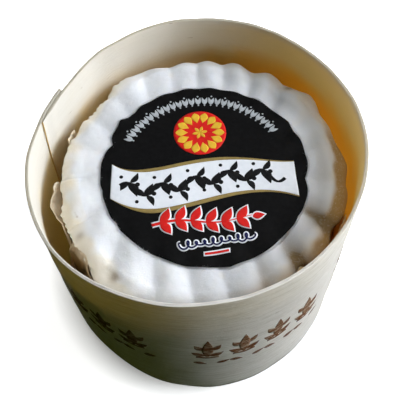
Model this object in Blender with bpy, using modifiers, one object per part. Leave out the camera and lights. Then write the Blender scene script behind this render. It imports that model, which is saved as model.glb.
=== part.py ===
"""A small soft-ripened chaource cheese standing in its wood veneer band.

The cheese is a drum with a fluted white rind, and a round paper label lies on its top.
A thin paper wrapper stands round its side. The band is one strip of poplar veneer,
bent round with its ends overlapped, and it is open above and below.
Metres, +Z up, +Y away from the viewer. The band and the cheese both stand on z = 0.
"""

import math
import random

import bmesh
import bpy

# The veneer band
BAND_RADIUS = 0.0475
BAND_HEIGHT = 0.0722
VENEER = 0.0010
LAP_GAP = 0.00015
LAP_INNER_END = 169.1
LAP_OUTER_END = 153.0
LAP_EASE = 28.0
BAND_STEP = 2.5
BAND_ROWS = 3
# Hand-bent outline: folds round the band, share of the radius, direction in degrees
TOP_WAVES = ((2, 0.0298, 48.7), (3, 0.0104, -25.2), (4, 0.0032, 22.5), (5, 0.0020, 15.0))
BOTTOM_WAVES = ((2, 0.0036, -50.6), (3, 0.0096, 55.2), (4, 0.0059, 1.2))

# The cheese
CHEESE_CENTRE = (0.0005, 0.0002)
CHEESE_RADIUS = 0.0427
CHEESE_TOP = 0.0600
TOP_RISE = 0.0004
SHOULDER_WIDE = 0.0045
SHOULDER_HIGH = 0.0056
FOOT_ROUND = 0.0030
FLANK_BULGE = 0.0003
# The rind is a little oval, like the band: share of the radius, direction in degrees
CHEESE_OVAL = 0.014
CHEESE_OVAL_AT = 60.0
FLUTE_DEPTH = 0.0013
FLUTE_ROUND = 0.8
FLUTE_START = 0.0230
FLUTE_FULL = 0.0370
FOOT_FADE = 0.0200
PLATEAU_ROWS = 7
SHOULDER_ROWS = 7
FLANK_ROWS = 4
FOOT_ROWS = 2

# The lobes round the rind. The waves crowd them together on the far side and spread them toward
# the viewer's left: folds round the rind, share of a lobe, direction in degrees. The spans are
# two directions in degrees and the softness of their ends
LOBES = 21
LOBE_SHIFT = -0.31
LOBE_WAVES = ((1, 0.40, 175.0), (2, 0.25, -35.5), (3, 0.055, -52.0), (4, 0.10, 23.3))
POINTS_PER_LOBE = 8
LOBE_SEARCH = 40
DEEP_SPANS = ((303.0, 343.0, 20.0), (56.0, 86.0, 14.0))
DEEP_SHARE = 0.35
FAINT_SPAN = (346.0, 384.0, 14.0)
FAINT_SHARE = 0.65
SEED = 7

# The torn skirt of rind on the viewer's left; its span is two directions in degrees and the
# softness of its ends
SKIRT_SPAN = (124.0, 222.0, 16.0)
SKIRT_START = 0.0358
SKIRT_LIP = 0.0410
SKIRT_FALL = 0.0024
SKIRT_UNDERCUT = 0.0012
SKIRT_RAG = 0.0004
SKIRT_LIP_AT = 0.6
SKIRT_DROOP = 1.4

# The label
LABEL_CENTRE = (0.0019, -0.0009)
LABEL_RADIUS = 0.0304
LABEL_PAPER = 0.00025
LABEL_GAP = 0.0003
LABEL_RINGS = 7
LABEL_POINTS = 112

# The paper wrapper
WRAP_PAPER = 0.00025
WRAP_GAP = 0.0003
WRAP_FOOT = 0.0012
WRAP_LOW = 0.0100
WRAP_HIGH = 0.0020
WRAP_HIGH_SPAN = (216.0, 385.0, 8.0)
WRAP_LEAF = 0.0050
WRAP_LEAF_SPAN = (187.0, 207.0, 4.0)
WRAP_TAB = 0.0035
WRAP_TAB_SPAN = (157.0, 165.0, 3.0)
WRAP_TEAR = 0.0003
WRAP_TEAR_COUNTS = (23, 41)
WRAP_FLARE = 0.0007
WRAP_FLARE_HIGH = 0.0070
WRAP_POINTS = 144
WRAP_ROWS = 5
WRAP_ROWS_UP = 0.6


def clear_scene():
    """Empties the scene."""
    for item in list(bpy.data.objects):
        bpy.data.objects.remove(item, do_unlink=True)


def make_material(name, colour, roughness):
    """A plain surface of one colour, as linear red, green and blue."""
    made = bpy.data.materials.new(name)
    made.use_nodes = True
    shader = made.node_tree.nodes["Principled BSDF"]
    shader.inputs["Base Color"].default_value = (*colour, 1.0)
    shader.inputs["Roughness"].default_value = roughness
    shader.inputs["Metallic"].default_value = 0.0
    made.diffuse_color = (*colour, 1.0)
    return made


def ease(value, low, high):
    """0 up to low, 1 from high on, with a soft run between."""
    t = min(max((value - low) / (high - low), 0.0), 1.0)
    return t * t * (3.0 - 2.0 * t)


def stretch(angle, start, end, soft):
    """1 between two directions in degrees, falling to 0 over the soft width on each side."""
    middle = (start + end) / 2
    away = abs((angle - middle + 180.0) % 360.0 - 180.0)
    half = (end - start) / 2
    return 1.0 - ease(away, half - soft / 2, half + soft / 2)


def waves(angle, table):
    """The share of the radius that the hand-bent outline adds in this direction."""
    return sum(size * math.cos(folds * math.radians(angle - at)) for folds, size, at in table)


def band_radius(angle, height):
    """The band's outer radius, blended from the bottom outline to the top one."""
    up = height / BAND_HEIGHT
    wave = up * waves(angle, TOP_WAVES) + (1.0 - up) * waves(angle, BOTTOM_WAVES)
    return BAND_RADIUS * (1.0 + wave)


def band_middle():
    """The centre of the band's outer box seen from above, which becomes the origin."""
    flat = []
    for height in (0.0, BAND_HEIGHT):
        for step in range(720):
            angle = step / 2
            radius = band_radius(angle, height)
            flat.append((radius * math.cos(math.radians(angle)), radius * math.sin(math.radians(angle))))
    xs, ys = zip(*flat)
    return (min(xs) + max(xs)) / 2, (min(ys) + max(ys)) / 2


MIDDLE = band_middle()


def placed(x, y, z):
    """A point given about the band's axis, as the part's own coordinates."""
    return x - MIDDLE[0], y - MIDDLE[1], z


def around(centre, radius, angle, z):
    """A point at this radius and direction about a centre."""
    turn = math.radians(angle)
    return placed(centre[0] + radius * math.cos(turn), centre[1] + radius * math.sin(turn), z)


def make_object(name, grid, material, group, closed_rows=(), facing=None):
    """A surface through rings of points, each joined to the next. The rings listed in closed_rows
    are filled to their middles. An open surface faces the way that it is told, up or out."""
    bm = bmesh.new()
    rings = [[bm.verts.new(point) for point in ring] for ring in grid]
    count = len(rings[0])
    for lower, upper in zip(rings, rings[1:]):
        for i in range(count):
            j = (i + 1) % count
            bm.faces.new((lower[i], lower[j], upper[j], upper[i]))
    for row in closed_rows:
        cap = bmesh.ops.contextual_create(bm, geom=rings[row])["faces"]
        bmesh.ops.poke(bm, faces=cap)
    bmesh.ops.recalc_face_normals(bm, faces=bm.faces)
    if facing and sum(FACINGS[facing](face) for face in bm.faces) < 0.0:
        bmesh.ops.reverse_faces(bm, faces=bm.faces)
    for face in bm.faces:
        face.smooth = True
    mesh = bpy.data.meshes.new(name)
    bm.to_mesh(mesh)
    bm.free()
    mesh.materials.append(material)
    made = bpy.data.objects.new(name, mesh)
    group.objects.link(made)
    return made


FACINGS = {
    "up": lambda face: face.normal.z,
    "out": lambda face: face.normal.xy.dot(face.calc_center_median().xy),
}


def thicken(made, thickness):
    """Gives an open surface its thickness, on the side that it faces."""
    shell = made.modifiers.new("Thickness", "SOLIDIFY")
    shell.thickness = thickness
    shell.offset = 1.0
    shell.use_even_offset = True


def lobe_count(angle):
    """How many lobes lie between direction 0 and this one. A groove runs at each whole number."""
    return LOBES * angle / 360.0 + LOBE_SHIFT + waves(angle, LOBE_WAVES)


def rind_directions():
    """The directions of the rind's points, evenly spread inside each lobe and its grooves."""
    found = []
    for index in range(LOBES * POINTS_PER_LOBE):
        wanted = index / POINTS_PER_LOBE
        angle = 360.0 * wanted / LOBES
        for _ in range(LOBE_SEARCH):
            angle += (wanted - lobe_count(angle)) * 360.0 / LOBES
        found.append(angle)
    return found


def groove(angle):
    """How far the rind sinks here: 0 on a lobe's crest, about 1 in the groove beside it."""
    across = lobe_count(angle) % 1.0
    deep = sum(stretch(angle, *span) for span in DEEP_SPANS)
    depth = 1.0 + DEEP_SHARE * deep - FAINT_SHARE * stretch(angle, *FAINT_SPAN)
    return depth * (1.0 - math.sin(math.pi * across) ** FLUTE_ROUND)


def oval(angle, height):
    """The factor that makes the rind oval, fading out toward its round foot."""
    wide = CHEESE_OVAL * math.cos(2.0 * math.radians(angle - CHEESE_OVAL_AT))
    return 1.0 + wide * ease(height, 0.0, FOOT_FADE)


def top_height(radius, angle):
    """The height of the rind's flat top, as far out as its shoulder."""
    dome = TOP_RISE * (1.0 - (radius / CHEESE_RADIUS) ** 2)
    torn = stretch(angle, *SKIRT_SPAN) * ease(radius, LABEL_RADIUS, SKIRT_START)
    sink = FLUTE_DEPTH * ease(radius, FLUTE_START, FLUTE_FULL) * groove(angle)
    return CHEESE_TOP + dome - sink * (1.0 - torn)


def drum_profile():
    """The turned shape under the flutes, from the top's middle to the foot: radius, height,
    the outward direction there in degrees above level, and how far round the shoulder."""
    points = []
    plateau = CHEESE_RADIUS - SHOULDER_WIDE
    for i in range(1, PLATEAU_ROWS + 1):
        points.append((plateau * (i / PLATEAU_ROWS) ** 0.8, CHEESE_TOP, 90.0, 0.0))
    for i in range(1, SHOULDER_ROWS + 1):
        t = i / SHOULDER_ROWS
        turn = math.radians(90.0 * t)
        radius = plateau + SHOULDER_WIDE * math.sin(turn)
        height = CHEESE_TOP - SHOULDER_HIGH * (1.0 - math.cos(turn))
        points.append((radius, height, 90.0 * (1.0 - t), t))
    flank_top = CHEESE_TOP - SHOULDER_HIGH
    for i in range(1, FLANK_ROWS + 1):
        t = i / FLANK_ROWS
        radius = CHEESE_RADIUS + FLANK_BULGE * math.sin(math.pi * t)
        points.append((radius, flank_top + (FOOT_ROUND - flank_top) * t, 0.0, 1.0))
    for i in range(1, FOOT_ROWS + 1):
        turn = math.radians(90.0 * i / FOOT_ROWS)
        radius = CHEESE_RADIUS - FOOT_ROUND * (1.0 - math.cos(turn))
        points.append((radius, FOOT_ROUND * (1.0 - math.sin(turn)), 0.0, 1.0))
    return points


def skirt_point(t, rag):
    """The torn skirt's section: it slopes out to a thin lip, then turns back under it."""
    reach = SKIRT_LIP + SKIRT_RAG * rag
    if t <= SKIRT_LIP_AT:
        out = t / SKIRT_LIP_AT
        return SKIRT_START + (reach - SKIRT_START) * out, CHEESE_TOP - SKIRT_FALL * out**SKIRT_DROOP
    back = (t - SKIRT_LIP_AT) / (1.0 - SKIRT_LIP_AT)
    fall = SKIRT_FALL + (SHOULDER_HIGH - SKIRT_FALL) * back
    return reach - SKIRT_UNDERCUT * ease(back, 0.0, 0.5), CHEESE_TOP - fall


def rind_point(row, angle, rag):
    """One point of the rind: the drum, sunk by the flutes, with the torn skirt on one side."""
    radius, height, lean, t = row
    torn = stretch(angle, *SKIRT_SPAN)
    if t == 0.0:
        radius *= 1.0 - torn * (1.0 - SKIRT_START / (CHEESE_RADIUS - SHOULDER_WIDE))
        height = top_height(radius, angle)
        return around(CHEESE_CENTRE, radius * oval(angle, height), angle, height)
    foot = ease(height, 0.0, FOOT_FADE)
    sink = FLUTE_DEPTH * groove(angle) * foot * (1.0 - torn)
    radius -= sink * math.cos(math.radians(lean))
    height -= sink * math.sin(math.radians(lean)) * ease(height, CHEESE_TOP - SHOULDER_HIGH, CHEESE_TOP)
    if t < 1.0:
        skirt_radius, skirt_height = skirt_point(t, rag)
    else:
        under = SKIRT_LIP - SKIRT_UNDERCUT
        skirt_radius, skirt_height = radius + (under - CHEESE_RADIUS) * foot, height
    radius += (skirt_radius - radius) * torn
    height += (skirt_height - height) * torn
    height = max(height, 0.0)
    return around(CHEESE_CENTRE, radius * oval(angle, height), angle, height)


def build_cheese(group):
    """The uncut drum of cheese, solid, with its fluted rind as relief."""
    rind = make_material("rind", (0.83, 0.84, 0.86), 0.85)
    draw = random.Random(SEED)
    ring = [(angle, draw.uniform(-1.0, 1.0)) for angle in rind_directions()]
    grid = [[rind_point(row, angle, rag) for angle, rag in ring] for row in drum_profile()]
    return make_object("cheese", grid, rind, group, closed_rows=(0, -1))


def build_label(group):
    """The round paper label, draped over the inner ends of the lobes."""
    paper = make_material("label_paper", (0.010, 0.010, 0.011), 0.5)
    grid = []
    for ring in range(1, LABEL_RINGS + 1):
        radius = LABEL_RADIUS * ring / LABEL_RINGS
        row = []
        for i in range(LABEL_POINTS):
            turn = 2.0 * math.pi * i / LABEL_POINTS
            x = LABEL_CENTRE[0] + radius * math.cos(turn)
            y = LABEL_CENTRE[1] + radius * math.sin(turn)
            out = math.hypot(x - CHEESE_CENTRE[0], y - CHEESE_CENTRE[1])
            angle = math.degrees(math.atan2(y - CHEESE_CENTRE[1], x - CHEESE_CENTRE[0]))
            row.append(placed(x, y, top_height(out, angle) + LABEL_GAP))
        grid.append(row)
    made = make_object("label", grid, paper, group, closed_rows=(0,), facing="up")
    thicken(made, LABEL_PAPER)
    return made


def wrapper_top(angle):
    """The height of the wrapper's torn upper edge, and how far it flares from the cheese there."""
    tall = stretch(angle, *WRAP_HIGH_SPAN)
    leaf = stretch(angle, *WRAP_LEAF_SPAN)
    tab = stretch(angle, *WRAP_TAB_SPAN)
    below = WRAP_LOW + (WRAP_HIGH - WRAP_LOW) * tall
    below += (WRAP_LEAF - WRAP_LOW) * leaf + (WRAP_TAB - WRAP_LOW) * tab
    tear = sum(WRAP_TEAR * math.sin(count * math.radians(angle)) for count in WRAP_TEAR_COUNTS)
    return CHEESE_TOP - below + tear, WRAP_FLARE * max(tall, leaf)


def wrapper_radius(angle, height, top, flare):
    """The wrapper follows the cheese's flank and leans out toward its free edge."""
    torn = stretch(angle, *SKIRT_SPAN)
    leaf = stretch(angle, *WRAP_LEAF_SPAN)
    snug = CHEESE_RADIUS + FLANK_BULGE + WRAP_GAP
    snug -= (CHEESE_RADIUS - SKIRT_LIP) * torn * (1.0 - leaf) * ease(height, 0.0, FOOT_FADE)
    snug += flare * ease(height, top - WRAP_FLARE_HIGH, top)
    return snug * oval(angle, height)


def build_wrapper(group):
    """The thin paper wrapper round the cheese's side, with a torn upper edge."""
    paper = make_material("wrapper_paper", (0.72, 0.62, 0.45), 0.8)
    grid = []
    for row in range(WRAP_ROWS + 1):
        up = (row / WRAP_ROWS) ** WRAP_ROWS_UP
        points = []
        for i in range(WRAP_POINTS):
            angle = 360.0 * i / WRAP_POINTS
            top, flare = wrapper_top(angle)
            height = WRAP_FOOT + (top - WRAP_FOOT) * up
            radius = wrapper_radius(angle, height, top, flare)
            points.append(around(CHEESE_CENTRE, radius, angle, height))
        grid.append(points)
    made = make_object("wrapper", grid, paper, group, facing="out")
    thicken(made, WRAP_PAPER)
    return made


def build_band(group):
    """The bent veneer strip, its ends overlapped by a short lap on the viewer's left. It is lofted
    through upright sections, each going up its outer face and down its inner one."""
    wood = make_material("veneer", (0.62, 0.55, 0.38), 0.65)
    lap = LAP_INNER_END - LAP_OUTER_END
    steps = round((360.0 + lap) / BAND_STEP)
    heights = [BAND_HEIGHT * row / BAND_ROWS for row in range(BAND_ROWS + 1)]
    grid = []
    for step in range(steps + 1):
        along = (360.0 + lap) * step / steps
        angle = LAP_INNER_END - along
        inward = (VENEER + LAP_GAP) * (1.0 - ease(along, lap, lap + LAP_EASE))
        outer = [(band_radius(angle, height) - inward, height) for height in heights]
        inner = [(radius - VENEER, height) for radius, height in reversed(outer)]
        grid.append([around((0.0, 0.0), radius, angle, height) for radius, height in outer + inner])
    return make_object("wood_band", grid, wood, group, closed_rows=(0, -1))


def main():
    clear_scene()
    group = bpy.data.collections.new("chaource_cheese")
    bpy.context.scene.collection.children.link(group)
    build_band(group)
    build_wrapper(group)
    build_cheese(group)
    build_label(group)


main()
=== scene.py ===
"""The looks of a small fluted white cheese standing in its bent veneer band.

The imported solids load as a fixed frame. Finer surfaces then stand for them: the veneer strip,
the torn paper wrapper, the downy rind and the printed label. Metres, +Z up, +Y away from the
viewer. Directions are in degrees round the band's axis, from +X towards +Y. A span is a start, an
end and the width over which it fades at both. In a table of spans a size follows each.
"""

import math

import bpy
import numpy as np
from mathutils import Matrix, Vector


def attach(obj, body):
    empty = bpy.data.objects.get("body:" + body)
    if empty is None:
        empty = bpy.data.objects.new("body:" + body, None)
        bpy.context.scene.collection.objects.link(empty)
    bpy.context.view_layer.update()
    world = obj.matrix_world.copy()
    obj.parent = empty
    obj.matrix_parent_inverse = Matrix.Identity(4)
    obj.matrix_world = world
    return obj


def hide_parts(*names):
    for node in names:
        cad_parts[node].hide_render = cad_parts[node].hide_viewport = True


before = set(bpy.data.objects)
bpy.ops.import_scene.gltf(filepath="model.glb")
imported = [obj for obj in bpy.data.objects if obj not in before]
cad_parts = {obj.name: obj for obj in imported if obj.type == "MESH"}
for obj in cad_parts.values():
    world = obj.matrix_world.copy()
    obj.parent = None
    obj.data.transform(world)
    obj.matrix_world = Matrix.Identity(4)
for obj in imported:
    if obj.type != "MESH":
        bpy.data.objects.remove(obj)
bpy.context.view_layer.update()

AXIS = (0.0, 0.0)
UP = np.array([0.0, 0.0, 1.0])
NO_TRIANGLES = np.zeros((0, 3), int)
# Unevenness is given as its height, wavelength and seed, and is made of this many plane waves
PLANE_WAVES = 28

# The veneer band
BAND_RADIUS = 0.0475
BAND_HEIGHT = 0.0722
VENEER = 0.001
LAP_GAP = 0.00015
LAP_INNER_END = 169.1
LAP_OUTER_END = 153.0
LAP_EASE = 28.0
LAP_THIN = 0.35
LAP_THIN_RUN = 0.006
RIM_ROUND = 0.00025
# The rim lies this far below the band's full height, and wavers
RIM_LOW = 0.00012
RIM_RAG = (0.00006, 0.009, 5)
BAND_DENTS = (0.0001, 0.018, 3)
BAND_SECTIONS = 940
FACE_ROWS = 34
EDGE_ROWS = 5
# Hand-bent outline: folds round the band, share of the radius, direction in degrees
TOP_WAVES = ((2, 0.0298, 48.7), (3, 0.0104, -25.2), (4, 0.0032, 22.5), (5, 0.002, 15.0))
BOTTOM_WAVES = ((2, 0.0036, -50.6), (3, 0.0096, 55.2), (4, 0.0059, 1.2))

# Stains and painted light of the band: strength, span, and the heights from and to which each comes
# in
# The wet span on the right lets more light through the wall; there the amber stain also paints the
# orange glow of that light
WET = (1.0, (-80.0, 79.0, 60.0), (0.072, 0.0713))
# A painted golden glow of bounce light low on the inner left, where the cheese shades the wall
PAINTED_GOLDEN_GLOW = (0.85, (140.0, 226.0, 30.0), (0.0585, 0.0505))
DRY = (1.0, (130.0, 222.0, 30.0), (0.056, 0.064))
# An olive tint on the inner right and back faces, lighter toward the rim, and where it is left out
# on the back wall
OLIVE_GAP_HIGH = (0.8, (66.0, 130.0, 30.0), (0.057, 0.064))
OLIVE_TINT_HIGH = (0.35, (-80.0, 104.0, 70.0), (0.06, 0.072))
OLIVE_GAP_SPAN = (90.0, 130.0, 24.0)
CLEAN_SPAN = (150.0, 206.0, 16.0)
LEFT_SPAN = (150.0, 222.0, 30.0)
DAMP_SPAN = (90.0, 222.0, 20.0)
# Where the rim's top is painted near white at the front, as a painted highlight
FRONT_RIM_LIGHT_SPAN = (225.0, 318.0, 50.0)
# Each end of two more steps in height, and how far it moves: up in the wet, down at the left
STAIN_SHADE_GLOW_HIGH = ((0.0585, 0.006), (0.052, 0.002))
DAMP_HIGH = ((0.065, -0.006), (0.053, -0.003))
BAND_BLOTS = (0.0016, 0.011, 9)
VENEER_STAINS_AND_LIGHT = (
    # Olive on the inner right and back faces
    ("olive_tint", (0.58, 0.46, 0.22)),
    # Amber stain from the cheese, which is also painted shade near the cheese and a painted orange
    # glow of light through the wall on the right
    ("stain_shade_and_glow", (0.54, 0.25, 0.035)),
    # Painted golden glow low on the inner left, in the cheese's shadow
    ("painted_golden_glow", (0.97, 0.87, 0.62)),
    ("cut", (0.6, 0.57, 0.49)),
    # Painted highlight on the front of the rim
    ("front_rim_painted_light", (0.95, 0.95, 0.94)),
    # Amber on the inner lap's end face: a painted glow of light coming through the veneer
    ("lap_end_painted_glow", (0.95, 0.66, 0.28)),
)

# The cheese
CHEESE_CENTRE = (0.0005, 0.0002)
CHEESE_RADIUS = 0.0427
CHEESE_TOP = 0.06
TOP_RISE = 0.0004
SHOULDER_WIDE = 0.0045
SHOULDER_HIGH = 0.0056
PLATEAU = CHEESE_RADIUS - SHOULDER_WIDE
FOOT_ROUND = 0.003
FOOT_FADE = 0.02
FLANK_BULGE = 0.0003
FLANK_SPREAD = 1.3
CHEESE_OVAL = 0.014
CHEESE_OVAL_AT = 60.0
FLUTE_DEPTH = 0.0012
FLUTE_SOFT = 0.3
FLUTE_SIDE = 0.65
FLUTE_START = 0.0225
FLUTE_FULL = 0.0382
# The grooves lean: degrees to one side over the run, in four folds and toward the viewer
LEAN_FOLD = 7.0
LEAN_FRONT = 4.0
LEAN_AT = 0.0365
LEAN_RUN = 0.013
LOBES = 21
LOBE_SHIFT = -0.31
LOBE_WAVES = ((1, 0.4, 175.0), (2, 0.25, -35.5), (3, 0.055, -52.0), (4, 0.1, 23.3))
GROOVE_SPANS = (
    (298.0, 341.0, 16.0, 1.3),
    (343.0, 398.0, 18.0, -0.4),
    (44.0, 66.0, 10.0, 0.45),
    (66.0, 98.0, 16.0, -0.05),
    (100.0, 182.0, 30.0, -0.4),
    (190.0, 226.0, 16.0, -0.25),
    (236.0, 260.0, 14.0, -0.3),
)
# Rows of the rind: coarse ones under the label, then fine ones on the top, shoulder, flank, foot
RIND_COLUMNS = 900
COARSE_TOP = (0.004, 0.0262, 6)
FINE_TOP = (0.0265, PLATEAU, 42)
SHOULDER_ROWS = 40
FLANK_ROWS = 14
FOOT_ROWS = 4
RIND_LUMPS = ((0.00016, 0.01, 31), (0.000015, 0.0024, 32))
LUMPS_START = (0.0262, 0.0345)
RIND_BLOTS = (0.001, 0.006, 41)
# Where the shoulder stands out, and the heights over which it does
SWELLS = (
    (320.0, 380.0, 40.0, 0.0017),
    (27.0, 64.0, 18.0, 0.0013),
    (33.0, 42.0, 8.0, 0.0017),
    (71.0, 78.0, 6.0, 0.0007),
    (68.0, 100.0, 16.0, 0.0009),
    (53.0, 61.0, 6.0, 0.0006),
    (110.0, 134.0, 10.0, 0.0018),
    (228.0, 244.0, 8.0, 0.0019),
)
SWELL_HIGH = (0.049, 0.0565)

# The torn skirt of rind on the viewer's left, and the creased panel on it
SKIRT_SPAN = (124.0, 222.0, 16.0)
SKIRT_START = 0.0352
SKIRT_LIP = 0.0411
SKIRT_FALL = 0.0029
SKIRT_UNDERCUT = 0.0012
SKIRT_WAVER = (0.0003, 0.009, 21)
SKIRT_RAG = (0.00021, 0.0016, 22)
SKIRT_LIP_AT = 0.6
SKIRT_DROOP = 2.2
SKIRT_REACH = (
    (190.0, 212.0, 24.0, 0.001),
    (136.0, 150.0, 12.0, -0.0004),
    (120.0, 133.0, 7.0, 0.0019),
    (219.0, 236.0, 7.0, 0.0015),
)
# Direction, start and depth
CREASES = ((183.5, 0.033, 0.00032), (206.5, 0.033, 0.00036), (203.2, 0.0372, 0.00012))
CREASE_WIDE = 0.00034
CREASE_RUN = 0.003
PANEL_SPAN = (183.5, 207.0, 0.9)
PANEL_STEP = 0.00002
PANEL_START = (0.0353, 0.0357)

# Patches of the rind: strength, span, and the radii from and to which each comes in
TORN = (1.0, (128.0, 236.0, 30.0), (0.037, 0.039))
IVORY_PATCHES = (
    (0.9, (128.0, 236.0, 30.0), (0.0355, 0.0412)),
    (0.75, (214.0, 244.0, 12.0), (0.0395, 0.0425)),
)
PANEL_TINT = (0.22, PANEL_SPAN, (0.0352, 0.0358))
FLANK_TINT_HIGH = (0.0575, 0.052)
# Brown painted into the grooves at the front right, as painted shade
GROOVE_SHADE_BROWN = (1.3, (292.0, 348.0, 16.0), (0.031, 0.04))
# Olive brown on the right shoulder: bare rind, darkened by painted shade and painted amber bounce
# light from the wall
BARE_AND_SHADE = (0.95, (318.0, 380.0, 20.0), (0.0392, 0.041))
BARE_AND_SHADE_WIDER_SPAN = (328.0, 354.0, 20.0)
WHITE_BACK = (0.95, (20.0, 96.0, 20.0), (0.0358, 0.0385))
# Grey painted shade on the rind at the back, the back left and the front
SHADE_BACK_SPAN = (46.0, 118.0, 30.0)
SHADE_BACK_LEFT_SPAN = (126.0, 160.0, 14.0)
SHADE_FRONT_SPAN = (266.0, 300.0, 22.0)
# Painted shade beside the label on the right, which ends at these radii
SHADE_BESIDE_LABEL = ((300.0, 380.0, 16.0, 0.6), (396.0, 418.0, 16.0, 0.95))
SHADE_BESIDE_LABEL_OUT = (0.0385, 0.036)
# Brown spots: direction, distance from the middle, size, strength
BROWN_SPOTS = (
    (212.0, 0.0395, 0.0012, 0.5),
    (235.0, 0.0408, 0.0014, 0.7),
    (334.0, 0.0397, 0.0018, 0.75),
    (313.5, 0.04, 0.0019, 0.8),
    (47.5, 0.0418, 0.0016, 0.8),
    (203.3, 0.0381, 0.0003, 0.6),
    (202.2, 0.0382, 0.0002, 0.4),
    (201.2, 0.0383, 0.0002, 0.3),
)
RIND = {
    "roughness": 0.9,
    "sheen": 0.05,
    "colour": (0.88, 0.9, 0.945),
    "marks": ((170.0, 3.0, 0.5, 0.45, 0.7, (0.84, 0.855, 0.89)),),
    "stains": (
        # A grey that paints shade where the rind lies in shade
        ("thin", (0.66, 0.68, 0.72)),
        ("ivory", (0.84, 0.77, 0.64)),
        # Bare right shoulder, with painted shade and painted amber bounce light
        ("bare", (0.46, 0.33, 0.15)),
        # Real brown spots, and painted shade in the grooves at the front right
        ("brown", (0.3, 0.225, 0.13)),
    ),
    "bumps": ((2600.0, 4.0, 0.7, 0.0001), (520.0, 2.0, 0.5, 0.00008)),
    "deep": (("Weight", 0.25), ("Radius", (1.0, 0.8, 0.62)), ("Scale", 0.0022)),
}

# The down: name, hairs, nearest and furthest from the label's edge, shortest, longest, inward
# lean, spread
DOWN = (
    ("short_down", 9000, 0.0005, 0.011, 0.0003, 0.0007, 0.0, 0.7),
    ("edge_down", 9000, -0.00008, 0.0005, 0.0003, 0.0009, 0.6, 0.7),
)
DOWN_SEED = 17
DOWN_LOWEST = 0.0558
HAIR_WIDE = 0.00004
HAIR_SIDE = (0.3, 0.2, 0.93)
HAIR_HOOK = 0.22
HAIR_DROOP = 0.15
# Rings of a hair: how far up it, and the share of its full thickness
HAIR_RINGS = ((-0.15, 1.0), (0.5, 0.75))
HAIR_POINTS = 7
HAIR = {
    "roughness": 0.9,
    "sheen": 0.05,
    "colour": (0.93, 0.94, 0.96),
    "marks": ((300.0, 2.0, 0.5, 0.0, 1.0, (0.86, 0.87, 0.89)),),
    "glow": (0.4, (0.95, 0.96, 0.98)),
}

# The label
LABEL_CENTRE = (0.0019, -0.0009)
LABEL_RADIUS = 0.0304
LABEL_PAPER = 0.00018
LABEL_LIFT = 0.00043
LABEL_RINGS = 64
LABEL_COLUMNS = 360
LABEL_SOFT = (0.00005, 0.016, 51)
LABEL_WAVER = (0.00022, 0.014, 53)
LABEL_OUT = 0.0001
LABEL_DIP = 0.00014
# Soft bites in the label's edge: direction, width, depth
LABEL_BITES = (
    (312.0, 26.0, 0.0004),
    (34.0, 14.0, -0.0012),
    (60.0, 26.0, -0.0011),
    (134.0, 7.0, 0.0004),
    (144.0, 9.0, -0.0015),
    (161.0, 13.0, 0.0027),
    (192.0, 8.0, 0.0006),
    (214.0, 9.0, 0.0008),
    (282.0, 16.0, -0.0011),
    (330.0, 12.0, 0.0006),
    (355.0, 24.0, 0.0022),
)
LABEL_SAG = 0.0005
LABEL_SAG_START = 0.0245
LABEL_BLACK = {
    "roughness": 0.5,
    "sheen": 0.05,
    "colour": (0.0045, 0.0045, 0.0048),
    "marks": (
        (900.0, 4.0, 0.5, 0.3, 0.8, (0.0075, 0.0075, 0.008)),
        (2300.0, 1.0, 0.5, 0.84, 0.87, (0.08, 0.08, 0.08)),
    ),
    "bumps": ((900.0, 4.0, 0.5, 0.00004),),
}
INK_LIFT = 0.00003
INK_THICKNESS = 0.00002
INK_BUMPS = ((700.0, 4.0, 0.5, 0.00003),)
# Each ink's two shades
INKS = {
    "white_ink": ((0.86, 0.89, 0.95), (0.8, 0.835, 0.9)),
    "pale_grey_ink": ((0.52, 0.56, 0.6), (0.4, 0.43, 0.46)),
    "gold_ink": ((0.33, 0.24, 0.08), (0.26, 0.19, 0.07)),
    "yellow_ink": ((0.83, 0.51, 0.045), (0.74, 0.44, 0.04)),
    "red_ink": ((0.75, 0.021, 0.017), (0.62, 0.018, 0.015)),
    "black_ink": ((0.008, 0.008, 0.009), (0.014, 0.014, 0.015)),
    "dark_blue_ink": ((0.012, 0.016, 0.085), (0.01, 0.013, 0.06)),
}

# The print, about the label's middle: metres to the right and up. Leaves are given as their shift
# to the right and up, direction, length, width, fatness and bend, and dots as shift, radius, steps
# round and rings
GARLAND_SPAN = (153.0, 35.0)
GARLAND_COUNT = 27
GARLAND_RADIUS = 0.024
GARLAND_LEAVES = (
    (0.0, 0.0, 17.0, 0.0028, 0.001, 0.75, 0.0),
    (0.0, 0.0, -17.0, 0.0028, 0.001, 0.75, 0.0),
    (0.0, 0.0, 180.0, 0.0006, 0.0005, 0.75, 0.0),
)
GARLAND_DOT_RADIUS = 0.0271
GARLAND_DOT = (0.00028, 12, 2)
FLOWER_CENTRE = (-0.0013, 0.0134)
FLOWER_DISC = (0.0079, 72, 12)
# Rings of petals: how many, first direction, start, length, width, fatness, bend, steps, across
FLOWER_RINGS = (
    (14, 0.0, 0.0036, 0.0038, 0.0025, 1.3, 0.0, 16, 7),
    (6, 12.0, 0.0, 0.0023, 0.001, 1.2, 0.0, 10, 5),
)
BANNER_SPAN = (-0.0271, 0.0265)
BANNER_TOP = (
    (-0.0274, 0.0026),
    (-0.016, -0.0003),
    (-0.0014, 0.0027),
    (0.0074, 0.0036),
    (0.0262, 0.0029),
)
BANNER_FOOT = (
    (-0.0267, -0.0092),
    (-0.0156, -0.0126),
    (-0.0015, -0.0098),
    (0.0071, -0.0076),
    (0.0269, -0.0086),
)
BANNER_SLANT = 0.0007
BANNER_STEPS = 150
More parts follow.
